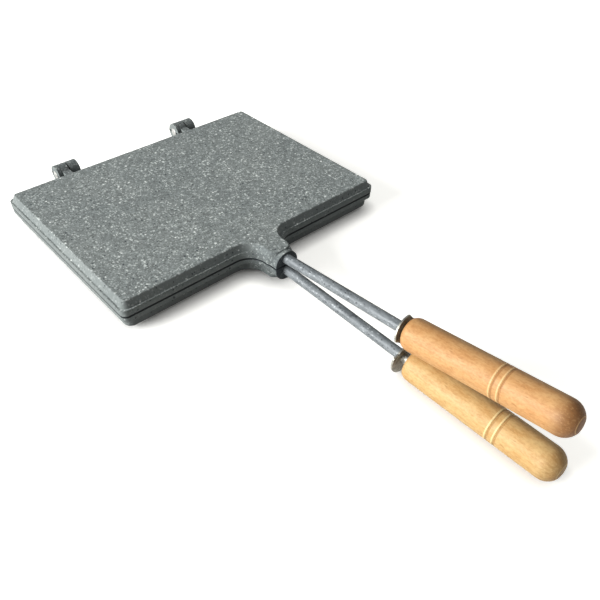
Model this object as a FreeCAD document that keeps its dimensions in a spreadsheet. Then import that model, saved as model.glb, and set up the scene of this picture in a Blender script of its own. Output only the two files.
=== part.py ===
"""Pie iron: two cast halves hinged at the back, with rod handles and turned wooden grips.

Millimetres, +Z up, +X towards the grips, +Y across the plates. The origin is the centre of the
lower half's flat underside.
"""
import FreeCAD, Part
import math
import os
import re

import Sketcher
from FreeCAD import Vector

# Driving sizes: alias, value, meaning
SIZES = [
    ("face_width", 240.0, "flat back of the upper half, along Y"),
    ("face_depth", 178.0, "flat back of the upper half, along X"),
    ("face_corner", 3.0, "corner radius of the flat back, in plan"),
    ("upper_height", 11.3, "skirt's lower edge to the flat back"),
    ("skirt_height", 5.5, "height of the skirt's side"),
    ("ledge_width", 1.4, "ledge between skirt and raised back"),
    ("wall_slope", 2.4, "how far the raised back's wall leans out over its height"),
    ("skirt_thickness", 2.9, "wall of the skirt outside the lower half's lip"),
    ("lower_height", 13.0, "underside to the lower half's shoulder"),
    ("rim_height", 4.8, "lower half's rim under the skirt"),
    ("rim_inset", 0.3, "how much narrower than the skirt the rim is"),
    ("rim_round", 1.2, "rounding under the rim"),
    ("lower_corner", 7.0, "corner radius of the lower wall, in plan"),
    ("lower_inset", 2.0, "rim's outer face to the lower wall"),
    ("lower_slope", 1.0, "how far the lower wall leans out over its height"),
    ("lip_height", 3.0, "lower half's lip inside the skirt"),
    ("lip_clearance", 0.4, "gap between lip and skirt"),
    ("parting_gap", 0.9, "open line between skirt and rim"),
    ("seam_gap", 0.2, "gap between the lip and the upper half"),
    ("land_width", 6.0, "flat land around the cooking cavity"),
    ("cavity_corner", 9.0, "corner radius of the cavity"),
    ("cavity_wall_angle", 12.0, "degrees by which the cavity's walls lean"),
    ("lower_floor", 4.0, "floor under the lower cavity"),
    ("upper_floor", 3.5, "floor over the upper cavity"),
    ("lower_rib_height", 2.5, "low rib that divides the lower cavity in two"),
    ("upper_rib_height", 1.6, "low rib that divides the upper cavity in two"),
    ("rib_width", 7.0, "width of the dividing ribs"),
    ("neck_reach", 31.0, "flat back's front edge to the end of the neck"),
    ("neck_flat_reach", 27.4, "flat back's front edge to the end of the neck's flat top"),
    ("neck_flat_half", 9.0, "half width of the neck's flat top"),
    ("neck_nose_corner", 7.5, "corner radius at the end of the neck's flat top"),
    ("neck_ledge", 0.2, "narrow ledge around the neck"),
    ("neck_top_fillet", 15.5, "inner fillet beside the neck's flat top"),
    ("neck_fillet", 15.3, "inner fillet beside the neck at the skirt"),
    ("neck_skirt_corner", 10.1, "corner radius at the end of the neck at the skirt"),
    ("boss_radius", 10.5, "arched end of the neck around the rod"),
    ("boss_drop", 0.4, "flat back down to the crest of the boss"),
    ("boss_root", 12.0, "flat back's front edge to the boss's inner end"),
    ("edge_round", 1.1, "rounding of the flat back's edge"),
    ("base_round", 2.0, "rounding of the underside's edge"),
    ("hinge_reach", 25.6, "flat back's rear edge to the hinge axis"),
    ("knuckle_radius", 8.3, "outer radius of the hinge knuckles"),
    ("arm_thickness", 6.0, "height of the lower half's hinge arms"),
    ("tongue_arm", 4.5, "height of the upper half's hinge arms"),
    ("hinge_left", -72.0, "left face of the left hinge, along Y"),
    ("hinge_right", 54.0, "left face of the right hinge, along Y"),
    ("ear_width", 3.5, "thin ear at the left of each hinge"),
    ("tongue_width", 6.5, "upper half's knuckle"),
    ("block_width", 8.5, "thick ear at the right of each hinge"),
    ("ear_gap", 0.5, "upper half's knuckle to the thin ear"),
    ("block_gap", 1.5, "upper half's knuckle to the thick ear"),
    ("hinge_pin_radius", 2.5, "hinge pin"),
    ("hinge_pin_head_radius", 3.6, "peened ends of the hinge pin"),
    ("hinge_pin_head", 1.0, "thickness of the peened ends"),
    ("hinge_pin_crown", 0.7, "how much of that thickness is domed"),
    ("running_clearance", 0.05, "radial gap of the hinge pins"),
    ("washer_radius", 5.5, "washer under the pin's far end"),
    ("washer_thickness", 1.0, "washer under the pin's far end"),
    ("upper_exit", 19.0, "height of the upper rod's axis at the neck's end"),
    ("lower_exit", 8.4, "height of the lower rod's axis at the neck's end"),
    ("upper_rise_angle", 5.2, "degrees by which the upper rod rises"),
    ("lower_rise_angle", -1.1, "degrees by which the lower rod rises"),
    ("upper_bend_angle", 3.0, "further degrees by which the upper grip rises"),
    ("lower_bend_angle", 0.9, "further degrees by which the lower grip rises"),
    ("rod_radius", 3.9, "handle rod"),
    ("rod_heel", 2.0, "overlap of the rod's straight part and its bent tang"),
    ("heel_relief", 0.2, "how much thinner the rod is at the bend"),
    ("rod_reach", 117.5, "neck's end to the rod's shoulder"),
    ("socket_depth", 12.0, "rod inside the neck"),
    ("seat_clearance", 0.03, "radial gap of pieces that are driven in"),
    ("rod_pin_radius", 1.5, "cross pin in the neck"),
    ("rod_pin_reach", 6.0, "neck's end to the cross pin"),
    ("rod_pin_low", 4.3, "rod's axis to the cross pin's end at the parting"),
    ("rod_pin_high", 5.2, "rod's axis to the cross pin's far end"),
    ("collar_thickness", 1.2, "stamped collar"),
    ("collar_radius", 12.0, "collar's wide side"),
    ("collar_small_radius", 9.3, "rest of the collar"),
    ("collar_wing_angle", 55.0, "half of the angle that the wide side spans, in degrees"),
    ("collar_foot_angle", 75.0, "where the small radius starts, in degrees from the middle"),
    ("upper_collar_turn_angle", 45.0, "upper collar's wide side, in degrees from straight up"),
    ("lower_collar_turn_angle", 117.0, "lower collar's wide side, in degrees from straight up"),
    ("tang_radius", 2.5, "rod's tang inside the grip"),
    ("upper_front", 3.5, "upper rod's shoulder to the grip's front"),
    ("lower_front", 8.0, "lower rod's shoulder to the grip's front"),
    ("handle_end", 118.2, "rod's shoulder to the grip's end"),
    ("grip_front_radius", 10.4, "grip's front face"),
    ("grip_front_round", 4.0, "length of the rounded front"),
    ("grip_radius", 11.5, "grip behind its front"),
    ("grip_tail_radius", 11.3, "grip ahead of its dome"),
    ("dome_length", 9.5, "domed end"),
    ("dome_radius", 10.5, "rounding of the dome's side"),
    ("groove_start", 66.4, "grip's front to its first groove"),
    ("groove_pitch", 5.3, "distance between the two grooves"),
    ("groove_width", 1.3, "turned groove"),
    ("groove_depth", 0.6, "turned groove"),
    ("bore_radius", 5.3, "counterbore in the grip's end"),
    ("bore_depth", 16.0, "counterbore in the grip's end"),
    ("tang_washer_radius", 5.0, "washer in the counterbore"),
    ("tang_washer_thickness", 1.0, "washer in the counterbore"),
    ("nut_flats", 8.0, "tang nut across its flats"),
    ("nut_thickness", 4.0, "tang nut"),
    ("tang_proud", 1.5, "tang beyond its nut"),
    ("plug_length", 6.0, "wooden end plug"),
    ("plug_bulge", 0.8, "how far the plug's middle stands out"),
    ("overrun", 5.0, "how far cuts run past the surface"),
]

doc = FreeCAD.newDocument("pie_iron")
sheet = doc.addObject("Spreadsheet::Sheet", "sizes")
for row, (alias, value, meaning) in enumerate(SIZES, start=1):
    sheet.set(f"A{row}", meaning)
    sheet.set(f"B{row}", str(value))
    sheet.setAlias(f"B{row}", alias)
doc.recompute()

# Slack with which two heights count as the same
SAME_HEIGHT = 1e-4

# Spare sheet in which starting values are worked out
spare = doc.addObject("Spreadsheet::Sheet", "spare")
SPARE_CELL = "A1"

# Named combinations that several pieces share
SKIRT_OUT = "(wall_slope + ledge_width)"
SHOULDER_OUT = f"({SKIRT_OUT} - skirt_thickness)"
LIP_OUT = f"({SHOULDER_OUT} - lip_clearance)"
RIM_OUT = f"({SKIRT_OUT} - rim_inset)"
LOWER_OUT = f"({RIM_OUT} - lower_inset)"
RIM_BOTTOM = "(lower_height - rim_height)"
NECK_AROUND = "(wall_slope + neck_ledge)"
SKIRT_BOTTOM = "(lower_height + parting_gap)"
SKIRT_TOP = f"({SKIRT_BOTTOM} + skirt_height)"
TOP = f"({SKIRT_BOTTOM} + upper_height)"
LIP_TOP = "(lower_height + lip_height)"
SEAM = f"({LIP_TOP} + seam_gap)"
NECK_END = "(face_depth / 2 + neck_reach)"
NECK_FLAT_END = "(face_depth / 2 + neck_flat_reach)"
HINGE_X = "(0 - face_depth / 2 - hinge_reach)"
HINGE_Z = "(lower_height + parting_gap / 2)"
HINGE_WIDTH = "(ear_width + ear_gap + tongue_width + block_gap + block_width)"
BORE_FLOOR = "(handle_end - bore_depth)"
NUT_START = f"({BORE_FLOOR} + tang_washer_thickness)"
TANG_END = f"({NUT_START} + nut_thickness + tang_proud)"


def bound(text):
    """Expression text with the sheet's name in front of every alias."""
    return re.sub(r"\b([a-z][a-z_]+)\b(?!\()", r"sizes.\1", str(text))


def value_of(text):
    """Present value of a formula in sheet aliases."""
    spare.set(SPARE_CELL, f"={bound(text)}")
    spare.recompute()
    return float(spare.get(SPARE_CELL))


def settle(item):
    """Recompute and stop at a feature that fails."""
    doc.recompute()
    if not item.isValid() or item.Shape.isNull():
        raise RuntimeError(f"{item.Label}: {item.getStatusString()}")
    return item


def new_body(name, placement=None):
    body = doc.addObject("PartDesign::Body", name)
    body.Label = name
    if placement:
        body.setExpression("Placement", bound(placement))
    return body


def new_sketch(body, name, role, offset="0", placement=None):
    """Sketch on one of the body's origin planes, moved along its normal or placed in it."""
    plane = [item for item in body.Origin.OriginFeatures if item.Role == role][0]
    sketch = body.newObject("Sketcher::SketchObject", name)
    sketch.AttachmentSupport = (plane, [""])
    sketch.MapMode = "FlatFace"
    if placement:
        sketch.setExpression("AttachmentOffset", bound(placement))
    else:
        sketch.setExpression("AttachmentOffset.Base.z", bound(offset))
    return sketch


def fix(sketch, kind, geometry, point, text):
    """Distance of a sketch point from the sketch's origin, bound to the sheet."""
    index = sketch.addConstraint(Sketcher.Constraint(kind, -1, 1, geometry, point, value_of(text)))
    sketch.setExpression(f"Constraints[{index}]", bound(text))


def fix_radius(sketch, geometry, text):
    index = sketch.addConstraint(Sketcher.Constraint("Radius", geometry, value_of(text)))
    sketch.setExpression(f"Constraints[{index}]", bound(text))


def square_outline(sketch, corners):
    """Closed outline of level and upright lines; corners are (x, y, radius or None)."""
    count = len(corners)
    places = [Vector(value_of(x), value_of(y), 0) for x, y, _ in corners]
    radii = [value_of(radius) if radius else 0 for _, _, radius in corners]
    travel = []
    for index in range(count):
        step = places[(index + 1) % count] - places[index]
        travel.append(step.normalize())
    lines = []
    for index in range(count):
        start = places[index] + travel[index] * radii[index]
        after = (index + 1) % count
        end = places[after] - travel[index] * radii[after]
        lines.append(sketch.addGeometry(Part.LineSegment(start, end), False))
    for index, (x, y, radius) in enumerate(corners):
        arriving, leaving = lines[index - 1], lines[index]
        level = abs(travel[index].x) > abs(travel[index].y)
        sketch.addConstraint(Sketcher.Constraint("Horizontal" if level else "Vertical", leaving))
        if not radius:
            sketch.addConstraint(Sketcher.Constraint("Coincident", arriving, 2, leaving, 1))
            continue
        start = places[index] - travel[index - 1] * radii[index]
        centre = start + travel[index] * radii[index]
        left_turn = travel[index - 1].cross(travel[index]).z > 0
        angle = math.atan2(start.y - centre.y, start.x - centre.x)
        first = angle if left_turn else angle - math.pi / 2
        circle = Part.Circle(centre, Vector(0, 0, 1), radii[index])
        arc = sketch.addGeometry(Part.ArcOfCircle(circle, first, first + math.pi / 2), False)
        near, far = (1, 2) if left_turn else (2, 1)
        sketch.addConstraint(Sketcher.Constraint("Tangent", arriving, 2, arc, near))
        sketch.addConstraint(Sketcher.Constraint("Tangent", arc, far, leaving, 1))
        fix_radius(sketch, arc, radius)
    for index, (x, y, _) in enumerate(corners):
        level = abs(travel[index].x) > abs(travel[index].y)
        if level:
            fix(sketch, "DistanceY", lines[index], 1, y)
        else:
            fix(sketch, "DistanceX", lines[index], 1, x)


def free_outline(sketch, points):
    """Closed outline; points are (x, y, bend), bend the signed radius of the edge that follows.

    A positive bend bulges to the right of the direction of travel.
    """
    count = len(points)
    places = [Vector(value_of(x), value_of(y), 0) for x, y, _ in points]
    edges = []
    for index, (_, _, bend) in enumerate(points):
        start, end = places[index], places[(index + 1) % count]
        if not bend:
            edges.append((sketch.addGeometry(Part.LineSegment(start, end), False), 1, 2))
            continue
        radius = value_of(bend)
        chord = end - start
        aside = Vector(0, 0, 1).cross(chord).normalize()
        rise = math.sqrt(max(radius ** 2 - chord.Length ** 2 / 4, 0))
        centre = (start + end) / 2 + aside * rise * (1 if radius > 0 else -1)
        circle = Part.Circle(centre, Vector(0, 0, 1), abs(radius))
        from_angle = math.atan2(start.y - centre.y, start.x - centre.x)
        to_angle = math.atan2(end.y - centre.y, end.x - centre.x)
        if radius > 0:
            arc = Part.ArcOfCircle(circle, from_angle, to_angle)
            near, far = 1, 2
        else:
            arc = Part.ArcOfCircle(circle, to_angle, from_angle)
            near, far = 2, 1
        geometry = sketch.addGeometry(arc, False)
        edges.append((geometry, near, far))
        fix_radius(sketch, geometry, bend if radius > 0 else f"0 - ({bend})")
    for index, (x, y, _) in enumerate(points):
        before, here = edges[index - 1], edges[index]
        sketch.addConstraint(Sketcher.Constraint("Coincident", before[0], before[2], here[0], here[1]))
        fix(sketch, "DistanceX", here[0], here[1], x)
        fix(sketch, "DistanceY", here[0], here[1], y)


def circle_outline(sketch, x, y, radius):
    circle = Part.Circle(Vector(value_of(x), value_of(y), 0), Vector(0, 0, 1), value_of(radius))
    geometry = sketch.addGeometry(circle, False)
    fix(sketch, "DistanceX", geometry, 3, x)
    fix(sketch, "DistanceY", geometry, 3, y)
    fix_radius(sketch, geometry, radius)


def feature(body, kind, name, sketch, **settings):
    """PartDesign feature on a sketch; text settings are bound to the sheet."""
    item = body.newObject(f"PartDesign::{kind}", name)
    item.Profile = sketch
    for setting, content in settings.items():
        if isinstance(content, str):
            item.setExpression(setting, bound(content))
        else:
            setattr(item, setting, content)
    sketch.Visibility = False
    return settle(item)


def pad(body, name, sketch, length, **settings):
    return feature(body, "Pad", name, sketch, Length=length, **settings)


def cut(body, kind, name, sketch, **settings):
    """Pocket or groove that has to take material away."""
    before = body.Shape.Volume
    item = feature(body, kind, name, sketch, **settings)
    if item.Shape.Volume >= before:
        raise RuntimeError(f"{name} cuts nothing")
    return item


def spin(body, name, sketch, axis="H_Axis"):
    item = body.newObject("PartDesign::Revolution", name)
    item.Profile = sketch
    item.ReferenceAxis = (sketch, [axis])
    item.Angle = 360
    return settle(item)


def round_level_edges(body, name, height, radius, chosen=None):
    """Fillet of the edges that lie level at a height, all or those that a test chooses."""
    base = body.Tip
    level = value_of(height)
    names = []
    for index, edge in enumerate(base.Shape.Edges, start=1):
        box = edge.BoundBox
        flat = max(abs(box.ZMin - level), abs(box.ZMax - level)) < SAME_HEIGHT
        if flat and (chosen is None or chosen(box)):
            names.append(f"Edge{index}")
    item = body.newObject("PartDesign::Fillet", name)
    item.Base = (base, names)
    item.setExpression("Radius", bound(radius))
    return settle(item)


def plate_corners(out, neck_half, neck_end, fillet, corner, nose):
    """Rectangle around the flat back, grown by out, with the neck at its front."""
    half_x = f"(face_depth / 2 + {out})"
    half_y = f"(face_width / 2 + {out})"
    return [
        (f"0 - {half_x}", f"0 - {half_y}", corner),
        (half_x, f"0 - {half_y}", corner),
        (half_x, f"0 - {neck_half}", fillet),
        (neck_end, f"0 - {neck_half}", nose),
        (neck_end, neck_half, nose),
        (half_x, neck_half, fillet),
        (half_x, half_y, corner),
        (f"0 - {half_x}", half_y, corner),
    ]


def rectangle(half_x, half_y, corner):
    """Rectangle about the origin."""
    return [
        (f"0 - {half_x}", f"0 - {half_y}", corner),
        (half_x, f"0 - {half_y}", corner),
        (half_x, half_y, corner),
        (f"0 - {half_x}", half_y, corner),
    ]


def tilted(rise, height, reach="0"):
    """Place in the upright plane along the handle, reach outward from the neck's end."""
    pivot = f"placement(vector({NECK_END}; {height}; 0); rotation(vector(0; 0; 1); {rise}))"
    return f"{pivot} * placement(vector({reach}; 0; 0); rotation(vector(0; 0; 1); 0))"


def rod_place(half):
    """Frame of a rod: its X axis runs along the rod from the neck's end."""
    turn = f"rotation(vector(0; 1; 0); 0 - {half}_rise_angle)"
    return f"placement(vector({NECK_END}; 0; {half}_exit); {turn})"


def grip_place(half):
    """Frame of a grip: its X axis runs along the grip from the rod's shoulder."""
    turn = f"rotation(vector(0; 1; 0); 0 - {half}_bend_angle)"
    return f"{rod_place(half)} * placement(vector(rod_reach; 0; 0); {turn})"


def cavity_half(axis):
    return f"({axis} / 2 + {LIP_OUT} - land_width)"


def cut_cavity(body, depth, upward):
    """Cooking cavity with a low rib across its middle, open at the seam."""
    seam = SEAM if upward else LIP_TOP
    lean = "0 - cavity_wall_angle"
    rib = "upper_rib_height" if upward else "lower_rib_height"
    shallow = f"({depth} - {rib})"
    sketch = new_sketch(body, f"{body.Name}_cavity", "XY_Plane", seam)
    half_x, half_y = cavity_half("face_depth"), cavity_half("face_width")
    square_outline(sketch, rectangle(half_x, half_y, "cavity_corner"))
    cut(body, "Pocket", f"{body.Name}_cavity_cut", sketch, Length=shallow, TaperAngle=lean,
        Reversed=upward)
    level = f"({seam} + {shallow})" if upward else f"({seam} - {shallow})"
    inset = f"({shallow} * tan(cavity_wall_angle))"
    for side, sign in (("left", "0 - "), ("right", "")):
        sketch = new_sketch(body, f"{body.Name}_{side}_well", "XY_Plane", level)
        near, far = f"{sign}(rib_width / 2)", f"{sign}({half_y} - {inset})"
        low, high = (far, near) if sign else (near, far)
        corner = f"(cavity_corner - {inset})"
        square_outline(sketch, [
            (f"0 - ({half_x} - {inset})", low, corner),
            (f"({half_x} - {inset})", low, corner),
            (f"({half_x} - {inset})", high, corner),
            (f"0 - ({half_x} - {inset})", high, corner),
        ])
        cut(body, "Pocket", f"{body.Name}_{side}_well_cut", sketch, Length=rib,
            TaperAngle=lean, Reversed=upward)


def arch(body, base, side, upward):
    """Arched end of the neck, standing on the parting or hanging from it."""
    sketch = new_sketch(body, f"{body.Name}_arch", "YZ_Plane", "face_depth / 2 + boss_root")
    spring = f"({base} + {side})" if upward else f"({base} - {side})"
    crest = f"{spring} + boss_radius" if upward else f"{spring} - boss_radius"
    start, end = "boss_radius", "0 - boss_radius"
    if not upward:
        start, end = end, start
    free_outline(sketch, [
        (start, base, None), (start, spring, "boss_radius"), ("0", crest, "boss_radius"),
        (end, spring, None), (end, base, None),
    ])
    pad(body, f"{body.Name}_boss", sketch, "(neck_reach - boss_root)")


def knuckle(body, name, left, width, low, high, root):
    """Hinge knuckle with its arm to the plate; left is its left face along Y."""
    offset = f"0 - ({left} + {width})"
    sketch = new_sketch(body, f"{name}_arm", "XZ_Plane", offset)
    square_outline(sketch, [(HINGE_X, low, None), (root, low, None), (root, high, None),
                            (HINGE_X, high, None)])
    pad(body, f"{name}_arm_pad", sketch, width)
    sketch = new_sketch(body, f"{name}_round", "XZ_Plane", offset)
    circle_outline(sketch, HINGE_X, HINGE_Z, "knuckle_radius")
    pad(body, f"{name}_round_pad", sketch, width)


def bore_hinge(body):
    """One bore for both hinge pins."""
    sketch = new_sketch(body, f"{body.Name}_pin_bore", "XZ_Plane", "face_width / 2")
    circle_outline(sketch, HINGE_X, HINGE_Z, "hinge_pin_radius + running_clearance")
    cut(body, "Pocket", f"{body.Name}_pin_bore_cut", sketch, Length="face_width")


def bore_socket(body, rise, height, upward):
    """Rod socket in the neck and the cross pin's hole from the parting face."""
    sketch = new_sketch(body, f"{body.Name}_socket", "XZ_Plane", placement=tilted(rise, height))
    square_outline(sketch, [
        ("0 - socket_depth", "0", None), ("overrun", "0", None),
        ("overrun", "rod_radius + seat_clearance", None),
        ("0 - socket_depth", "rod_radius + seat_clearance", None),
    ])
    cut(body, "Groove", f"{body.Name}_socket_cut", sketch, ReferenceAxis=(sketch, ["H_Axis"]),
        Angle=360)
    place = tilted(rise, height, "0 - rod_pin_reach")
    sketch = new_sketch(body, f"{body.Name}_rod_pin", "XZ_Plane", placement=place)
    near, far = "(rod_pin_low + overrun)", "(rod_pin_high + seat_clearance)"
    low, high = (f"0 - {near}", far) if upward else (f"0 - {far}", near)
    square_outline(sketch, [
        ("0", low, None), ("rod_pin_radius + seat_clearance", low, None),
        ("rod_pin_radius + seat_clearance", high, None), ("0", high, None),
    ])
    cut(body, "Groove", f"{body.Name}_rod_pin_cut", sketch, ReferenceAxis=(sketch, ["V_Axis"]),
        Angle=360)


def make_upper_plate():
    body = new_body("upper_plate")
    sketch = new_sketch(body, "upper_skirt", "XY_Plane", SKIRT_BOTTOM)
    corner = f"(face_corner + {SKIRT_OUT} / 2)"
    square_outline(sketch, plate_corners(
        SKIRT_OUT, f"(neck_flat_half + {NECK_AROUND})", f"({NECK_FLAT_END} + {NECK_AROUND})",
        "neck_fillet", corner, "neck_skirt_corner"))
    pad(body, "upper_skirt_pad", sketch, "skirt_height")
    sketch = new_sketch(body, "upper_back", "XY_Plane", TOP)
    square_outline(sketch, plate_corners(
        "0", "neck_flat_half", NECK_FLAT_END, "neck_top_fillet", "face_corner",
        "neck_nose_corner"))
    wall = "(upper_height - skirt_height)"
    pad(body, "upper_back_pad", sketch, wall, Reversed=True,
        TaperAngle=f"atan(wall_slope / {wall})")
    round_level_edges(body, "upper_back_round", TOP, "edge_round")
    arch(body, SKIRT_BOTTOM, "(upper_height - boss_radius - boss_drop)", True)
    rebate = new_sketch(body, "upper_rebate", "XY_Plane", SKIRT_BOTTOM)
    half_x, half_y = f"(face_depth / 2 + {SHOULDER_OUT})", f"(face_width / 2 + {SHOULDER_OUT})"
    square_outline(rebate, rectangle(half_x, half_y, "face_corner"))
    cut(body, "Pocket", "upper_rebate_cut", rebate, Length=f"({SEAM} - {SKIRT_BOTTOM})",
        Reversed=True)
    cut_cavity(body, f"({TOP} - upper_floor - {SEAM})", True)
    root = f"(0 - face_depth / 2 - {SHOULDER_OUT} - skirt_thickness / 2)"
    for name, left in (("left", "hinge_left"), ("right", "hinge_right")):
        start = f"({left} + ear_width + ear_gap)"
        knuckle(body, f"upper_{name}_tongue", start, "tongue_width", SKIRT_BOTTOM,
                f"({SKIRT_BOTTOM} + tongue_arm)", root)
    bore_hinge(body)
    bore_socket(body, "upper_rise_angle", "upper_exit", True)
    return body


def make_lower_plate():
    body = new_body("lower_plate")
    sketch = new_sketch(body, "lower_rim", "XY_Plane", "lower_height")
    around = f"({NECK_AROUND} - rim_inset)"
    square_outline(sketch, plate_corners(
        RIM_OUT, f"(neck_flat_half + {around})", f"({NECK_FLAT_END} + {around})", "neck_fillet",
        f"(face_corner + {RIM_OUT} / 2)", "neck_skirt_corner"))
    pad(body, "lower_rim_pad", sketch, "rim_height", Reversed=True)
    round_level_edges(body, "lower_rim_round", RIM_BOTTOM, "rim_round")
    sketch = new_sketch(body, "lower_shell", "XY_Plane", RIM_BOTTOM)
    square_outline(sketch, plate_corners(
        LOWER_OUT, "boss_radius", NECK_FLAT_END, "neck_fillet", "lower_corner",
        "neck_nose_corner"))
    pad(body, "lower_shell_pad", sketch, RIM_BOTTOM, Reversed=True,
        TaperAngle=f"atan(0 - lower_slope / {RIM_BOTTOM})")
    round_level_edges(body, "lower_back_round", "0", "base_round")
    arch(body, "lower_height", "(lower_height - boss_radius - boss_drop)", False)
    sketch = new_sketch(body, "lower_lip", "XY_Plane", "lower_height")
    half_x, half_y = f"(face_depth / 2 + {LIP_OUT})", f"(face_width / 2 + {LIP_OUT})"
    square_outline(sketch, rectangle(half_x, half_y, "face_corner"))
    pad(body, "lower_lip_pad", sketch, "lip_height")
    cut_cavity(body, f"({LIP_TOP} - lower_floor)", False)
    root = "(land_width / 2 - face_depth / 2)"
    for name, left in (("left", "hinge_left"), ("right", "hinge_right")):
        low, high = "(lower_height - arm_thickness)", "lower_height"
        knuckle(body, f"lower_{name}_ear", left, "ear_width", low, high, root)
        start = f"({left} + {HINGE_WIDTH} - block_width)"
        knuckle(body, f"lower_{name}_block", start, "block_width", low, high, root)
    bore_hinge(body)
    bore_socket(body, "lower_rise_angle", "lower_exit", False)
    return body


def make_hinge_pin(name, left):
    """Pin with a peened head at each end, the far one over a washer."""
    place = f"placement(vector({HINGE_X}; {left}; {HINGE_Z}); rotation(vector(0; 0; 1); 0))"
    body = new_body(f"{name}_hinge_pin", place)
    sketch = new_sketch(body, f"{name}_pin_profile", "XY_Plane")
    grip = f"({HINGE_WIDTH} + washer_thickness)"
    rim = "(hinge_pin_head - hinge_pin_crown)"
    dome = "((hinge_pin_head_radius * hinge_pin_head_radius + hinge_pin_crown * hinge_pin_crown)"
    dome += " / (2 * hinge_pin_crown))"
    free_outline(sketch, [
        ("0", "0 - hinge_pin_head", dome),
        ("hinge_pin_head_radius", f"0 - {rim}", None),
        ("hinge_pin_head_radius", "0", None),
        ("hinge_pin_radius", "0", None),
        ("hinge_pin_radius", grip, None),
        ("hinge_pin_head_radius", grip, None),
        ("hinge_pin_head_radius", f"{grip} + {rim}", dome),
        ("0", f"{grip} + hinge_pin_head", None),
    ])
    spin(body, f"{name}_pin_turned", sketch, "V_Axis")


def make_hinge_washer(name, left):
    level = "rotation(vector(0; 0; 1); 0)"
    place = f"placement(vector({HINGE_X}; {left} + {HINGE_WIDTH}; {HINGE_Z}); {level})"
    body = new_body(f"{name}_hinge_washer", place)
    sketch = new_sketch(body, f"{name}_washer_ring", "XZ_Plane", "0 - washer_thickness")
    circle_outline(sketch, "0", "0", "washer_radius")
    circle_outline(sketch, "0", "0", "hinge_pin_radius + running_clearance")
    pad(body, f"{name}_washer_pad", sketch, "washer_thickness")


def make_rod(half):
    """Straight rod whose tang leaves its shoulder at the grip's angle."""
    body = new_body(f"{half}_rod", rod_place(half))
    sketch = new_sketch(body, f"{half}_rod_profile", "XY_Plane")
    end = f"(rod_reach - rod_radius * tan({half}_bend_angle))"
    square_outline(sketch, [
        ("seat_clearance - socket_depth", "0", None), (end, "0", None),
        (end, "rod_radius", None), ("seat_clearance - socket_depth", "rod_radius", None),
    ])
    spin(body, f"{half}_rod_turned", sketch)
    turn = f"placement(vector(rod_reach; 0; 0); rotation(vector(0; 0; 1); {half}_bend_angle))"
    sketch = new_sketch(body, f"{half}_tang_profile", "XZ_Plane", placement=turn)
    heel = "(rod_radius - heel_relief)"
    square_outline(sketch, [
        ("0 - rod_heel", "0", None), (TANG_END, "0", None), (TANG_END, "tang_radius", None),
        ("0", "tang_radius", None), ("0", heel, None), ("0 - rod_heel", heel, None),
    ])
    spin(body, f"{half}_tang_turned", sketch)
    sketch = new_sketch(body, f"{half}_rod_hole", "XY_Plane")
    circle_outline(sketch, "0 - rod_pin_reach", "0", "rod_pin_radius + seat_clearance")
    cut(body, "Pocket", f"{half}_rod_hole_cut", sketch, Length="2 * rod_radius + overrun",
        Midplane=True)


def make_rod_pin(half, upward):
    body = new_body(f"{half}_rod_pin", rod_place(half))
    low = "0 - rod_pin_low" if upward else "0 - rod_pin_high"
    sketch = new_sketch(body, f"{half}_rod_pin_circle", "XY_Plane", low)
    circle_outline(sketch, "0 - rod_pin_reach", "0", "rod_pin_radius")
    pad(body, f"{half}_rod_pin_pad", sketch, "rod_pin_low + rod_pin_high")


def make_collar(half):
    """Stamped collar with a wide side, and its short sleeve up to the grip's front."""
    body = new_body(f"{half}_collar", grip_place(half))
    turn = f"rotation(vector(0; 0; 1); {half}_collar_turn_angle)"
    sketch = new_sketch(body, f"{half}_collar_outline", "YZ_Plane",
                        placement=f"placement(vector(0; 0; 0); {turn})")
    points = []
    for angle, radius, bend in (
            ("0", "collar_radius", "collar_radius"),
            ("collar_wing_angle", "collar_radius", None),
            ("collar_foot_angle", "collar_small_radius", "collar_small_radius"),
            ("180", "collar_small_radius", "collar_small_radius"),
            ("0 - collar_foot_angle", "collar_small_radius", None),
            ("0 - collar_wing_angle", "collar_radius", "collar_radius")):
        points.append((f"{radius} * cos({angle} + 90)", f"{radius} * sin({angle} + 90)", bend))
    free_outline(sketch, points)
    circle_outline(sketch, "0", "0", "tang_radius + seat_clearance")
    pad(body, f"{half}_collar_pad", sketch, "collar_thickness")
    sketch = new_sketch(body, f"{half}_sleeve_ring", "YZ_Plane")
    circle_outline(sketch, "0", "0", "rod_radius")
    circle_outline(sketch, "0", "0", "tang_radius + seat_clearance")
    pad(body, f"{half}_sleeve_pad", sketch, f"{half}_front")


def make_grip(half):
    """Turned grip: rounded front, slight taper, two grooves, domed end, bored through."""
    body = new_body(f"{half}_grip", grip_place(half))
    sketch = new_sketch(body, f"{half}_grip_profile", "XY_Plane")
    bulge = "0 - (grip_front_round * grip_front_round + (grip_radius - grip_front_radius)"
    bulge += " * (grip_radius - grip_front_radius)) / (2 * (grip_radius - grip_front_radius))"
    front = f"{half}_front"
    points = [
        (front, "tang_radius + seat_clearance", None),
        (front, "grip_front_radius", bulge),
        (f"{front} + grip_front_round", "grip_radius", None),
    ]
    straight = f"(handle_end - {front} - grip_front_round - dome_length)"
    lean = f"((grip_radius - grip_tail_radius) / {straight})"
    for number in (0, 1):
        middle = f"(groove_start + {number} * groove_pitch)"
        for offset, depth in (("0 - groove_width / 2", "0"), ("0", "groove_depth"),
                              ("groove_width / 2", "0")):
            place = f"({middle} + {offset})"
            level = f"grip_radius - {lean} * ({place} - grip_front_round) - {depth}"
            points.append((f"{front} + {place}", level, None))
    points += [
        ("handle_end - dome_length", "grip_tail_radius", "0 - dome_radius"),
        ("handle_end", "bore_radius", None),
        (BORE_FLOOR, "bore_radius", None),
        (BORE_FLOOR, "tang_radius + seat_clearance", None),
    ]
    free_outline(sketch, points)
    spin(body, f"{half}_grip_turned", sketch)


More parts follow.
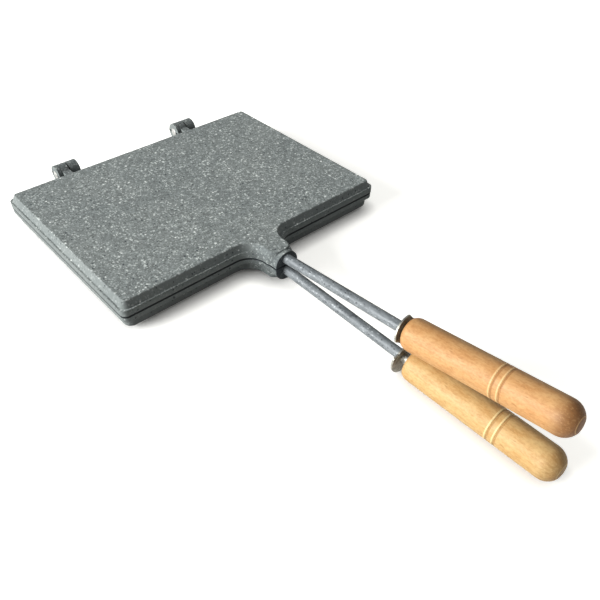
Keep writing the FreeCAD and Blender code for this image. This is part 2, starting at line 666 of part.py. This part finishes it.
def make_tang_washer(half):
    body = new_body(f"{half}_tang_washer", grip_place(half))
    sketch = new_sketch(body, f"{half}_tang_washer_ring", "YZ_Plane", BORE_FLOOR)
    circle_outline(sketch, "0", "0", "tang_washer_radius")
    circle_outline(sketch, "0", "0", "tang_radius + seat_clearance")
    pad(body, f"{half}_tang_washer_pad", sketch, "tang_washer_thickness")


def make_tang_nut(half):
    body = new_body(f"{half}_tang_nut", grip_place(half))
    sketch = new_sketch(body, f"{half}_tang_nut_hexagon", "YZ_Plane", NUT_START)
    corners = []
    for number in range(6):
        turn = 60 * number
        across = "nut_flats / sqrt(3)"
        corners.append((f"{across} * cos({turn})", f"{across} * sin({turn})", None))
    free_outline(sketch, corners)
    circle_outline(sketch, "0", "0", "tang_radius + seat_clearance")
    pad(body, f"{half}_tang_nut_pad", sketch, "nut_thickness")


def make_end_plug(half):
    body = new_body(f"{half}_end_plug", grip_place(half))
    sketch = new_sketch(body, f"{half}_end_plug_profile", "XY_Plane")
    radius = "(bore_radius - seat_clearance)"
    crown = f"0 - ({radius} * {radius} + plug_bulge * plug_bulge) / (2 * plug_bulge)"
    free_outline(sketch, [
        ("handle_end - plug_length", "0", None),
        ("handle_end - plug_length", radius, None),
        ("handle_end", radius, crown),
        ("handle_end + plug_bulge", "0", None),
    ])
    spin(body, f"{half}_end_plug_turned", sketch)


make_upper_plate()
make_lower_plate()
for side_name, side_left in (("left", "hinge_left"), ("right", "hinge_right")):
    make_hinge_pin(side_name, side_left)
    make_hinge_washer(side_name, side_left)
for half_name, upward_half in (("upper", True), ("lower", False)):
    make_rod(half_name)
    make_rod_pin(half_name, upward_half)
    make_collar(half_name)
    make_grip(half_name)
    make_tang_washer(half_name)
    make_tang_nut(half_name)
    make_end_plug(half_name)

doc.removeObject(spare.Name)
doc.recompute()
for item in doc.Objects:
    if {"Invalid", "Error"} & set(item.State):
        raise RuntimeError(f"{item.Label} failed: {item.State}")
bodies = [item for item in doc.Objects if item.TypeId == "PartDesign::Body"]
for body in bodies:
    if body.Shape.isNull() or not body.Shape.isValid() or len(body.Shape.Solids) != 1:
        raise RuntimeError(f"{body.Label} is not one valid solid")

os.makedirs("parts", exist_ok=True)
for body in bodies:
    box = body.Shape.BoundBox
    print(f"{body.Label:20s} solids {len(body.Shape.Solids)} volume {body.Shape.Volume:10.1f}"
          f"  x {box.XMin:7.1f} {box.XMax:7.1f}  y {box.YMin:7.1f} {box.YMax:7.1f}"
          f"  z {box.ZMin:6.1f} {box.ZMax:6.1f}")
    body.Shape.exportStep(f"parts/{body.Label}.step")
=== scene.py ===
"""Pie iron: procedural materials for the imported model, and its floor, light and camera."""
import math

import bpy
from mathutils import Matrix, Vector


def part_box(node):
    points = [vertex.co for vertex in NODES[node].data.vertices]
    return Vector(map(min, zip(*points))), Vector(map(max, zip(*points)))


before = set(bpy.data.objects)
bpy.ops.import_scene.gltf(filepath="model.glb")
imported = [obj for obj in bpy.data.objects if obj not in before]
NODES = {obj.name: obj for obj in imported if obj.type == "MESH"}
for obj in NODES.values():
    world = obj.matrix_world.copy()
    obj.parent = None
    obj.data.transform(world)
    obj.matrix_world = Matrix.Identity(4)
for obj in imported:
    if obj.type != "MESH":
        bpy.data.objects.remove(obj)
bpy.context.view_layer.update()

MM = 0.001

# Handles, as in the part's source: exit heights, rises and bends in degrees, and grips' fronts;
# tail is how much the wood darkens at the grip's end
NECK_END = 120 * MM
ROD_REACH = 117.5 * MM
HANDLES = {
    "upper": {"exit": 19.0 * MM, "rise": 5.2, "bend": 3.0, "front": 3.5 * MM, "tail": 0.72},
    "lower": {"exit": 8.4 * MM, "rise": -1.1, "bend": 0.9, "front": 8.0 * MM, "tail": 0.22},
}
HANDLE_END = 118.2 * MM
GROOVE_START = 66.4 * MM
GROOVE_PITCH = 5.3 * MM
BORE_RADIUS = 5.3 * MM

# Lines turned into a grip: the pale line of a groove and the painted shade in it, each by its
# place beside the groove's middle, half its width and half its full tone's width; then the painted
# shade at the front rim
GROOVE_PALE = (-0.85 * MM, 0.85 * MM, 0.5 * MM)
GROOVE_SHADE = (0.60 * MM, 0.80 * MM, 0.4 * MM)
FRONT_RIM_SHADE = (2.2 * MM, 0.2 * MM)

# Zones at a grip's end, from no effect to full effect: the darker wood, the dome that shows the
# plug's ring, and that ring's half width
TAIL_ZONE = (HANDLE_END - 17 * MM, HANDLE_END - 3 * MM)
DOME_ZONE = (HANDLE_END - 4 * MM, HANDLE_END - 3 * MM)
PLUG_RING = (0.55 * MM, 0.15 * MM)

# Open line between the closed halves, where shade is painted into the gap: its height, half the
# width of that painted shade from edge to full tone, and the rim that the paint stays outside of
PARTING = 13.45 * MM
LINE_WIDTH = (1.2 * MM, 0.8 * MM)
RIM_X = 89.2 * MM
RIM_Y = 120.2 * MM
RIM_EDGE = 0.2 * MM

# Zones of the halves, each from no effect to full effect, most of them where shade is painted:
# along X, then by height
NECK_ZONE = (92 * MM, 100 * MM)
BOSS_ZONE = (115 * MM, 117 * MM)
END_ZONE = (NECK_END - 0.5 * MM, NECK_END - 0.1 * MM)
HINGE_ZONE = (-94 * MM, -97 * MM)
LID_ZONE = (17 * MM, 19 * MM)
FOOT_ZONE = (11 * MM, 2 * MM)

# Tones of the casting: stone, then painted shade for the parting line, dark specks that also paint
# shade on the neck's end, and painted shade for walls, lid, boss, neck and hinges
STONE_DARK = (0.194, 0.215, 0.208)
STONE_PALE = (0.228, 0.249, 0.238)
PARTING_SHADE = (0.008, 0.010, 0.012)
DARK_SPECK_AND_SHADE = (0.035, 0.042, 0.048)
LIT_WALL_SHADE = (0.075, 0.085, 0.085)
SHADED_WALL_SHADE = (0.05, 0.057, 0.058)
LID_SHADE = (0.05, 0.057, 0.060)
BOSS_SHADE = (0.05, 0.058, 0.06)
NECK_SHADE = (0.075, 0.088, 0.09)
HINGE_SHADE = (0.045, 0.052, 0.055)

# Pale specks of the casting: shift of the pattern, cells per metre, size in cells, share of the
# cells and softness; gain and base of their strength on flat faces, and in crowded places; tone
PALE_SPECKS = (
    ((0, 0, 0), 620, 0.70, 0.66, 0.45, (0.62, 0.18), (0.5, 0.5), (0.60, 0.64, 0.61)),
    ((0.4, 0.1, 0.2), 420, 0.56, 0.58, 0.45, (0.62, 0.22), (0.6, 0.4), (0.74, 0.78, 0.74)),
)

# Wood: dark, middle and pale tone of each grip
ORANGE = ((0.34, 0.143, 0.042), (0.49, 0.245, 0.086), (0.56, 0.320, 0.130))
YELLOW = ((0.36, 0.178, 0.050), (0.51, 0.295, 0.105), (0.59, 0.400, 0.172))
RINGS_PER_METRE = 260
GROOVE_GAIN = (1.25, 1.42, 1.6)

# Floor: where the iron touches it, half its side, and where and how far it sinks behind the
# hinge, measured back from the underside's rear edge
REAR_EDGE = -88 * MM
FLOOR_GAP = 0.3 * MM
FLOOR_REACH = 6
FALL_START = 42 * MM
FALL_LENGTH = 250 * MM
FALL_DEPTH = 50 * MM
FALL_STEPS = 24

# Floor's tones as the camera and mirrors see it, its tone as it lights the iron, its glow where
# they see it, and how near the iron dims that glow, which paints a contact shadow
FLOOR_SEEN = ((0.94, 0.93, 0.895), (0.96, 0.95, 0.92))
FLOOR_LIT = (0.30, 0.295, 0.285)
GLOW_TONE = (1.0, 0.99, 0.95)
GLOW_STRENGTH = 0.66
CONTACT_REACH = 14 * MM

# Key lamp, and the surroundings' colour and strength as light and as the camera sees them
KEY = {"place": (-1.05, -3.20, 1.28), "aim": (0.05, 0, 0), "size": (2.6, 1.6), "power": 264,
       "colour": (0.98, 0.99, 1.0)}
SURROUNDINGS = (((0.97, 0.99, 1.0), 0.33), ((1, 1, 1), 1))

# Camera, solved from the corners of the iron's top: focal length and image width in pixels,
# sensor width in millimetres, place, and directions to the right, up and ahead
FOCAL_PIXELS = 641
IMAGE_PIXELS = 600
SENSOR = 36
CAMERA_PLACE = (0.40798, -0.24822, 0.31617)
RIGHT = (0.66690, 0.74509, 0.00951)
UP = (-0.50048, 0.43843, 0.74652)
AHEAD = (-0.55205, 0.50262, -0.66530)


# Node graphs

def toned(tone, gain):
    return tuple(part * gain for part in tone)


class Graph:
    """Short calls that build a material's node graph."""

    def __init__(self, name):
        self.material = bpy.data.materials.new(name)
        self.material.use_nodes = True
        self.tree = self.material.node_tree
        self.tree.nodes.clear()
        self.output = self.tree.nodes.new("ShaderNodeOutputMaterial")
        self.coords = self.tree.nodes.new("ShaderNodeTexCoord")

    def put(self, socket, value):
        if isinstance(value, bpy.types.NodeSocket):
            self.tree.links.new(value, socket)
        elif isinstance(value, tuple) and len(value) == 3 and socket.type == "RGBA":
            socket.default_value = (*value, 1)
        else:
            socket.default_value = value

    def node(self, kind, inputs=None, **settings):
        item = self.tree.nodes.new(kind)
        for name, value in settings.items():
            setattr(item, name, value)
        for name, value in (inputs or {}).items():
            self.put(item.inputs[name], value)
        return item

    def math(self, operation, first, second=0.0, third=0.0):
        item = self.node("ShaderNodeMath", operation=operation)
        for socket, value in zip(item.inputs, (first, second, third)):
            self.put(socket, value)
        return item.outputs[0]

    def times(self, first, *others):
        for other in others:
            first = self.math("MULTIPLY", first, other)
        return first

    def linear(self, value, gain, base):
        return self.math("MULTIPLY_ADD", value, gain, base)

    def off(self, value, centre):
        """Distance of a value from a centre."""
        return self.math("ABSOLUTE", self.math("SUBTRACT", value, centre))

    def length(self, first, second):
        squares = (self.times(first, first), self.times(second, second))
        return self.math("SQRT", self.math("ADD", *squares))

    def remap(self, value, ends, start=0.0, stop=1.0):
        """Linear from start and stop to the two ends, held beyond them."""
        inputs = {"Value": value, "From Min": start, "From Max": stop, "To Min": ends[0],
                  "To Max": ends[1]}
        return self.node("ShaderNodeMapRange", inputs).outputs[0]

    def step(self, value, low, high):
        """0 below low, 1 above high, smooth between; low above high turns it round."""
        item = self.node("ShaderNodeMapRange", interpolation_type="SMOOTHSTEP")
        flipped = low > high
        ends = (high, low, 1.0, 0.0) if flipped else (low, high, 0.0, 1.0)
        for name, end in zip(("From Min", "From Max", "To Min", "To Max"), ends):
            item.inputs[name].default_value = end
        self.put(item.inputs["Value"], value)
        return item.outputs["Result"]

    def mix(self, factor, first, second, blend="MIX"):
        item = self.node("ShaderNodeMix", data_type="RGBA", blend_type=blend)
        self.put(item.inputs[0], factor)
        self.put(item.inputs[6], first)
        self.put(item.inputs[7], second)
        return item.outputs[2]

    def paint(self, colour, tone, amount, *masks):
        """Tone over colour where the masks meet, by amount at most."""
        return self.mix(self.times(*masks, amount), colour, tone)

    def varied(self, amount, value, low, high):
        """Colour between low and high by a value that is stretched about its middle."""
        return self.mix(self.step(value, 0.5 - amount, 0.5 + amount), low, high)

    def mapping(self, vector, scale=(1, 1, 1), place=(0, 0, 0), turn=(0, 0, 0)):
        item = self.node("ShaderNodeMapping", {"Vector": vector})
        item.inputs["Location"].default_value = place
        item.inputs["Rotation"].default_value = turn
        item.inputs["Scale"].default_value = scale
        return item.outputs[0]

    def noise(self, vector, scale, detail=2.0, rough=0.5):
        inputs = {"Vector": vector, "Scale": scale, "Detail": detail, "Roughness": rough}
        return self.node("ShaderNodeTexNoise", inputs).outputs[0]

    def stretched(self, vector, scales, detail, rough):
        """Noise with its own scale along each axis."""
        return self.noise(self.mapping(vector, scale=scales), 1.0, detail, rough)

    def jitter(self, vector, scale, amount):
        """Vector shifted by a noise, so that round shapes turn irregular."""
        inputs = {"Vector": vector, "Scale": scale, "Detail": 1.0}
        shift = self.node("ShaderNodeTexNoise", inputs).outputs["Color"]
        shift = self.node("ShaderNodeVectorMath", {0: shift, 1: (0.5, 0.5, 0.5)},
                          operation="SUBTRACT").outputs[0]
        shift = self.node("ShaderNodeVectorMath", {0: shift}, operation="SCALE")
        shift.inputs["Scale"].default_value = amount
        return self.node("ShaderNodeVectorMath", {0: vector, 1: shift.outputs[0]}).outputs[0]

    def split(self, value, kind="ShaderNodeSeparateXYZ"):
        return self.node(kind, {0: value}).outputs

    def specks(self, vector, scale, size, share, soft=0.5):
        """Mask of round specks: size in cells, share of the cells that have one."""
        cells = self.node("ShaderNodeTexVoronoi", {"Vector": vector, "Scale": scale}).outputs
        red, green, _ = self.split(cells["Color"], "ShaderNodeSeparateColor")
        reach = self.math("MAXIMUM", self.times(green, size), 0.01)
        spot = self.step(self.math("DIVIDE", cells["Distance"], reach), 1.0, soft)
        return self.times(spot, self.math("LESS_THAN", red, share))

    def bump(self, height, strength, distance):
        inputs = {"Height": height, "Strength": strength, "Distance": distance}
        return self.node("ShaderNodeBump", inputs).outputs[0]

    def shade(self, colour, roughness, normal=None, **constants):
        inputs = {"Base Color": colour, "Roughness": roughness}
        if normal is not None:
            inputs["Normal"] = normal
        item = self.node("ShaderNodeBsdfPrincipled", inputs)
        for name, value in constants.items():
            item.inputs[name.replace("_", " ")].default_value = value
        self.tree.links.new(item.outputs[0], self.output.inputs[0])
        return self.material


# Coated casting: mottled grey with pale and dark specks

def casting_specks(g, colour, place, flat, shaded):
    ragged = g.jitter(place, 800, 0.0014)
    crowd = g.step(g.noise(place, 95), 0.36, 0.60)
    for shift, scale, size, share, soft, by_face, by_crowd, tone in PALE_SPECKS:
        spots = g.specks(g.mapping(ragged, place=shift), scale, size, share, soft)
        spots = g.times(spots, g.linear(flat, *by_face), g.linear(crowd, *by_crowd))
        colour = g.mix(spots, colour, tone)
    bright = g.specks(g.mapping(ragged, place=(0.55, 0.37, 0.81)), 270, 0.36, 0.20)
    # Bright specks are dimmed on the walls that the key lamp lights, as painted shade
    strength = g.linear(g.math("MAXIMUM", flat, shaded), 0.6, 0.35)
    colour = g.mix(g.times(bright, strength), colour, (0.84, 0.87, 0.83))
    dark = g.specks(g.mapping(ragged, place=(0.31, 0.17, 0.05)), 380, 0.44, 0.40)
    return g.paint(colour, DARK_SPECK_AND_SHADE, 0.8, dark)


def coated_casting():
    g = Graph("coated_casting")
    place = g.coords.outputs["Object"]
    _, facing_side, facing_up = g.split(g.coords.outputs["Normal"])
    along, side, height = g.split(place)

    # Faces: flat ones and the neck, and walls that the key lamp lights or leaves shaded
    neck = g.step(along, *NECK_ZONE)
    flat = g.math("MAXIMUM", g.step(g.math("ABSOLUTE", facing_up), 0.2, 0.9), neck)
    shaded = g.step(facing_side, -0.85, -0.5)
    wall = g.math("SUBTRACT", 1.0, flat)
    lit = g.math("SUBTRACT", 1.0, shaded)

    # Mottled stone, calmer on the walls
    mottle = g.noise(place, 330, 3, 0.65)
    grain = g.noise(place, 900, 2, 0.6)
    colour = g.varied(0.22, g.noise(place, 24, 3, 0.6), STONE_DARK, STONE_PALE)
    shade = g.remap(mottle, (0.70, 1.28), 0.3, 0.7)
    grit = g.remap(grain, (0.62, 1.38), 0.3, 0.7)
    uneven = g.node("ShaderNodeMix", {0: flat, 2: 1.0, 3: g.times(shade, grit)}).outputs[0]
    colour = g.mix(1.0, colour, uneven, "MULTIPLY")
    colour = casting_specks(g, colour, place, flat, shaded)

    # Painted shade in the open line between the halves
    line = g.step(g.off(height, PARTING), *LINE_WIDTH)
    past_x = g.math("SUBTRACT", g.math("ABSOLUTE", along), RIM_X)
    past_y = g.math("SUBTRACT", g.math("ABSOLUTE", side), RIM_Y)
    outside = g.step(g.math("MAXIMUM", past_x, past_y), 0.0, RIM_EDGE)
    colour = g.paint(colour, PARTING_SHADE, 0.97, line, outside)

    # Painted shade: on the walls, the ones the key lamp lights and more on those it leaves shaded,
    # on the shaded walls of the lid and towards the foot, on the sides of the boss and the neck,
    # and on the hinges' shaded faces
    colour = g.paint(colour, LIT_WALL_SHADE, 0.22, wall, lit)
    colour = g.paint(colour, SHADED_WALL_SHADE, 0.22, wall, shaded)
    colour = g.paint(colour, LID_SHADE, 0.22, g.step(height, *LID_ZONE), wall, shaded)
    colour = g.paint(colour, SHADED_WALL_SHADE, 0.4, g.step(height, *FOOT_ZONE), wall, shaded)
    # Painted shade on the sides of the boss and the neck, those that don't face up
    boss = g.step(along, *BOSS_ZONE)
    colour = g.paint(colour, BOSS_SHADE, 0.38, boss, g.step(facing_up, 0.95, 0.6))
    colour = g.paint(colour, NECK_SHADE, 0.50, neck, g.step(facing_up, 0.97, 0.8))
    # Painted shade on the hinges' faces that the key lamp leaves shaded
    colour = g.paint(colour, HINGE_SHADE, 0.38, g.step(along, *HINGE_ZONE), shaded)

    # Painted shade on the neck's end face, mottled
    end_shade = g.linear(g.step(mottle, 0.35, 0.65), -0.4, 0.95)
    colour = g.mix(g.times(g.step(along, *END_ZONE), end_shade), colour, DARK_SPECK_AND_SHADE)

    relief = g.linear(g.noise(place, 520), 0.7, g.times(grain, 0.3))
    normal = g.bump(relief, 0.35, 0.12 * MM)
    return g.shade(colour, g.remap(mottle, (0.68, 0.88)), normal, Specular_IOR_Level=0.25)


# Coated rods: finer specks and long streaks

def coated_rod():
    g = Graph("coated_rod")
    place = g.coords.outputs["Object"]
    streak = g.noise(g.mapping(place, scale=(0.22, 1, 1)), 480, 3, 0.65)
    blot = g.noise(g.mapping(place, scale=(0.55, 1, 1)), 300, 3, 0.65)
    colour = g.varied(0.16, streak, (0.120, 0.133, 0.140), (0.195, 0.212, 0.220))
    colour = g.paint(colour, (0.30, 0.32, 0.33), 0.6, g.step(blot, 0.54, 0.76))
    colour = g.mix(g.step(blot, 0.44, 0.28), colour, (0.070, 0.078, 0.085))
    ragged = g.jitter(g.mapping(place, scale=(0.7, 1, 1)), 900, 0.0012)
    pits = g.specks(ragged, 600, 0.50, 0.42, 0.4)
    colour = g.paint(colour, (0.03, 0.034, 0.04), 0.85, pits)
    sparks = g.specks(g.mapping(ragged, place=(0.2, 0.5, 0.1)), 720, 0.60, 0.52, 0.45)
    colour = g.paint(colour, (0.46, 0.49, 0.50), 0.62, sparks)
    relief = g.math("ADD", g.times(streak, 0.5), g.times(blot, 0.5))
    normal = g.bump(relief, 0.65, 0.3 * MM)
    return g.shade(colour, g.remap(blot, (0.42, 0.62)), normal, Metallic=0.08,
                   Specular_IOR_Level=0.45)


# Plain and stamped steel

def steel(name, dark, pale, roughness):
    g = Graph(name)
    place = g.coords.outputs["Object"]
    wear = g.noise(place, 340, 4, 0.6)
    scratch = g.noise(g.mapping(place, scale=(1, 0.15, 1)), 1500, 2, 0.6)
    colour = g.varied(0.2, wear, dark, pale)
    colour = g.mix(g.step(scratch, 0.62, 0.75), colour, toned(pale, 1.7))
    normal = g.bump(g.math("ADD", scratch, wear), 0.2, 0.1 * MM)
    return g.shade(colour, g.remap(wear, roughness), normal, Metallic=0.9)


# Turned wood: the grain runs along the grip

def grip_frame(half):
    """Matrix from the grip's own frame, X along it from the rod's shoulder, to the row frame."""
    handle = HANDLES[half]
    rod = Matrix.Translation((NECK_END, 0, handle["exit"]))
    rod = rod @ Matrix.Rotation(-math.radians(handle["rise"]), 4, "Y")
    bend = Matrix.Rotation(-math.radians(handle["bend"]), 4, "Y")
    return rod @ Matrix.Translation((ROD_REACH, 0, 0)) @ bend


def turned_lines(g, colour, x, front, dark, pale):
    """Two grooves, each a pale line with painted shade in the groove behind it, and painted shade
    at the front rim.
    """
    bright = tuple(part * gain for part, gain in zip(pale, GROOVE_GAIN))
    lines = ((GROOVE_PALE, bright, 0.9), (GROOVE_SHADE, toned(dark, 0.75), 0.62))
    for number in (0, 1):
        groove = front + GROOVE_START + number * GROOVE_PITCH
        for (beside, edge, core), tone, amount in lines:
            colour = g.paint(colour, tone, amount, g.step(g.off(x, groove + beside), edge, core))
    rim = g.step(x, front + FRONT_RIM_SHADE[0], front + FRONT_RIM_SHADE[1])
    return g.paint(colour, toned(dark, 0.8), 0.35, rim)


def wood(name, half, tones, heart, end_wood=False):
    """tones: dark, middle and pale wood; heart: where the tree's centre lies beside the grip."""
    g = Graph(name)
    inverse = grip_frame(half).inverted()
    local = g.mapping(g.coords.outputs["Object"], place=tuple(inverse.translation),
                      turn=tuple(inverse.to_euler()))
    dark, middle, pale = tones
    x, y, z = g.split(local)

    # Year rings, clouds and fibres
    wander = g.stretched(local, (6, 30, 30), 2, 0.5)
    distance = g.length(g.math("SUBTRACT", y, heart[0]), g.math("SUBTRACT", z, heart[1]))
    distance = g.math("ADD", distance, g.times(wander, 6 * MM))
    ring = g.math("FRACT", g.times(distance, RINGS_PER_METRE))
    ring = g.times(g.step(ring, 0.0, 0.8), g.step(ring, 1.0, 0.86))
    fibre = g.stretched(local, (190, 640, 640), 3, 0.62)
    cloud = g.stretched(local, (80, 130, 130), 3, 0.6)
    colour = g.varied(0.20, cloud, middle, pale)
    colour = g.paint(colour, dark, 0.10, ring)
    colour = g.paint(colour, dark, 0.32, g.step(fibre, 0.44, 0.70))
    colour = g.paint(colour, pale, 0.32, g.step(fibre, 0.50, 0.30))

    # Flecks and vessels
    ragged = g.jitter(local, 500, 0.0016)
    fleck = g.specks(g.mapping(ragged, scale=(0.34, 1, 1)), 620, 0.5, 0.30, 0.3)
    colour = g.paint(colour, toned(dark, 0.72), 0.42, fleck)
    vessel = g.mapping(ragged, scale=(0.22, 1, 1), place=(0.1, 0.2, 0.3))
    vessel = g.specks(vessel, 1100, 0.5, 0.3, 0.4)
    colour = g.paint(colour, toned(dark, 0.8), 0.25, vessel)
    if not end_wood:
        colour = turned_lines(g, colour, x, HANDLES[half]["front"], dark, pale)

    # Darker end, with the ring of the plug
    tail = g.times(g.step(x, *TAIL_ZONE), g.linear(fibre, 0.35, HANDLES[half]["tail"]))
    colour = g.mix(tail, colour, toned(dark, 0.55))
    joint = g.step(g.off(g.length(y, z), BORE_RADIUS), *PLUG_RING)
    colour = g.paint(colour, toned(pale, 1.25), 0.7, joint, g.step(x, *DOME_ZONE))

    # Pores
    pore = g.stretched(local, (520, 900, 900), 2, 0.6)
    colour = g.paint(colour, dark, 0.30, g.step(pore, 0.50, 0.68))
    colour = g.paint(colour, toned(pale, 1.15), 0.22, g.step(pore, 0.48, 0.32))
    relief = g.math("SUBTRACT", g.times(fibre, 0.5), g.times(fleck, 0.5))
    normal = g.bump(relief, 0.25, 0.12 * MM)
    return g.shade(colour, g.remap(fibre, (0.50, 0.68)), normal, Specular_IOR_Level=0.4)


def assign(material, *names):
    for name in names:
        mesh = NODES[name].data
        mesh.materials.clear()
        mesh.materials.append(material)


assign(coated_casting(), "upper_plate", "lower_plate")
assign(coated_rod(), "upper_rod", "lower_rod")
assign(steel("bare_steel", (0.30, 0.30, 0.29), (0.52, 0.52, 0.50), (0.26, 0.42)),
       "left_hinge_pin", "right_hinge_pin", "left_hinge_washer", "right_hinge_washer",
       "upper_rod_pin", "lower_rod_pin", "upper_tang_washer", "lower_tang_washer",
       "upper_tang_nut", "lower_tang_nut")
assign(steel("collar_steel", (0.20, 0.195, 0.165), (0.46, 0.45, 0.40), (0.40, 0.60)),
       "upper_collar", "lower_collar")
assign(wood("upper_wood", "upper", ORANGE, (0.004, -0.021)), "upper_grip")
assign(wood("lower_wood", "lower", YELLOW, (-0.012, -0.019)), "lower_grip")
assign(wood("upper_plug_wood", "upper", ORANGE, (0.002, -0.012), True), "upper_end_plug")
assign(wood("lower_plug_wood", "lower", YELLOW, (-0.006, -0.012), True), "lower_end_plug")


# Floor: white in the picture, pale grey as it lights the iron, with a painted contact shadow where
# the iron is near

def floor_material():
    g = Graph("floor")
    path = g.node("ShaderNodeLightPath").outputs
    seen = g.math("MAXIMUM", path["Is Camera Ray"], path["Is Glossy Ray"])
    seen = g.math("MAXIMUM", seen, path["Is Transmission Ray"])
    white = g.varied(0.3, g.noise(g.coords.outputs["Object"], 5), *FLOOR_SEEN)
    g.shade(g.mix(seen, FLOOR_LIT, white), 0.9, Specular_IOR_Level=0.1)
    lit = g.output.inputs[0].links[0].from_socket
    # The glow fades near the iron: a painted contact shadow
    free = g.node("ShaderNodeAmbientOcclusion", {"Distance": CONTACT_REACH}, samples=8)
    free = free.outputs["AO"]
    strength = g.times(free, free, GLOW_STRENGTH, seen)
    glow = g.node("ShaderNodeEmission", {"Color": GLOW_TONE, "Strength": strength})
    both = g.node("ShaderNodeAddShader", {0: lit, 1: glow.outputs[0]})
    g.put(g.output.inputs[0], both.outputs[0])
    return g.material


def make_floor():
    """Plane under the resting iron; behind the hinge it sinks, clear of the open half's handle."""
    rear = Vector((REAR_EDGE, 0, 0))
    low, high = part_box("lower_collar")
    foot = Vector(((low.x + high.x) / 2, 0, low.z))
    drop = math.atan2(rear.z - foot.z, foot.x - rear.x)
    profile = [(FLOOR_REACH, 0.0)]
    for number in range(FALL_STEPS + 1):
        part = number / FALL_STEPS
        sunk = part * part * (3 - 2 * part)
        profile.append((-FALL_START - part * FALL_LENGTH, -FALL_DEPTH * sunk))
    profile.append((-FLOOR_REACH, -FALL_DEPTH))
    points = [(x, side * FLOOR_REACH, z) for x, z in profile for side in (-1, 1)]
    faces = [(first, first + 1, first + 3, first + 2) for first in range(0, len(points) - 2, 2)]
    mesh = bpy.data.meshes.new("floor")
    mesh.from_pydata(points, [], faces)
    mesh.polygons.foreach_set("use_smooth", [True] * len(faces))
    mesh.update()
    floor = bpy.data.objects.new("floor", mesh)
    bpy.context.scene.collection.objects.link(floor)
    floor.rotation_euler = (0, drop, 0)
    floor.location = rear - Vector((0, 0, FLOOR_GAP))
    mesh.materials.append(floor_material())


make_floor()


# Light: low soft key from the left and slightly behind, and pale surroundings

def area_light(name, place, aim, size, power, colour):
    data = bpy.data.lights.new(name, "AREA")
    data.shape = "RECTANGLE"
    data.size, data.size_y = size
    data.energy = power
    data.color = colour
    lamp = bpy.data.objects.new(name, data)
    bpy.context.scene.collection.objects.link(lamp)
    lamp.location = place
    lamp.rotation_euler = (Vector(aim) - Vector(place)).to_track_quat("-Z", "Y").to_euler()


def set_world():
    """Pale surroundings that light the iron softly; the camera sees white."""
    world = bpy.data.worlds.new("surroundings")
    bpy.context.scene.world = world
    world.use_nodes = True
    tree = world.node_tree
    tree.nodes.clear()
    output = tree.nodes.new("ShaderNodeOutputWorld")
    path = tree.nodes.new("ShaderNodeLightPath")
    mix = tree.nodes.new("ShaderNodeMixShader")
    tree.links.new(path.outputs["Is Camera Ray"], mix.inputs[0])
    for socket, (colour, strength) in zip(mix.inputs[1:], SURROUNDINGS):
        glow = tree.nodes.new("ShaderNodeBackground")
        glow.inputs["Color"].default_value = (*colour, 1)
        glow.inputs["Strength"].default_value = strength
        tree.links.new(glow.outputs[0], socket)
    tree.links.new(mix.outputs[0], output.inputs[0])


area_light("key", **KEY)
set_world()


# Camera at the photograph's place

def make_camera():
    turn = Matrix((RIGHT, UP, -Vector(AHEAD))).transposed()
    data = bpy.data.cameras.new("camera")
    data.sensor_width = SENSOR
    data.lens = FOCAL_PIXELS / IMAGE_PIXELS * SENSOR
    data.clip_start, data.clip_end = 0.01, 50
    camera = bpy.data.objects.new("camera", data)
    bpy.context.scene.collection.objects.link(camera)
    camera.matrix_world = Matrix.Translation(CAMERA_PLACE) @ turn.to_4x4()
    bpy.context.scene.camera = camera


make_camera()
bpy.context.scene.view_settings.view_transform = "Standard"

bpy.context.view_layer.update()
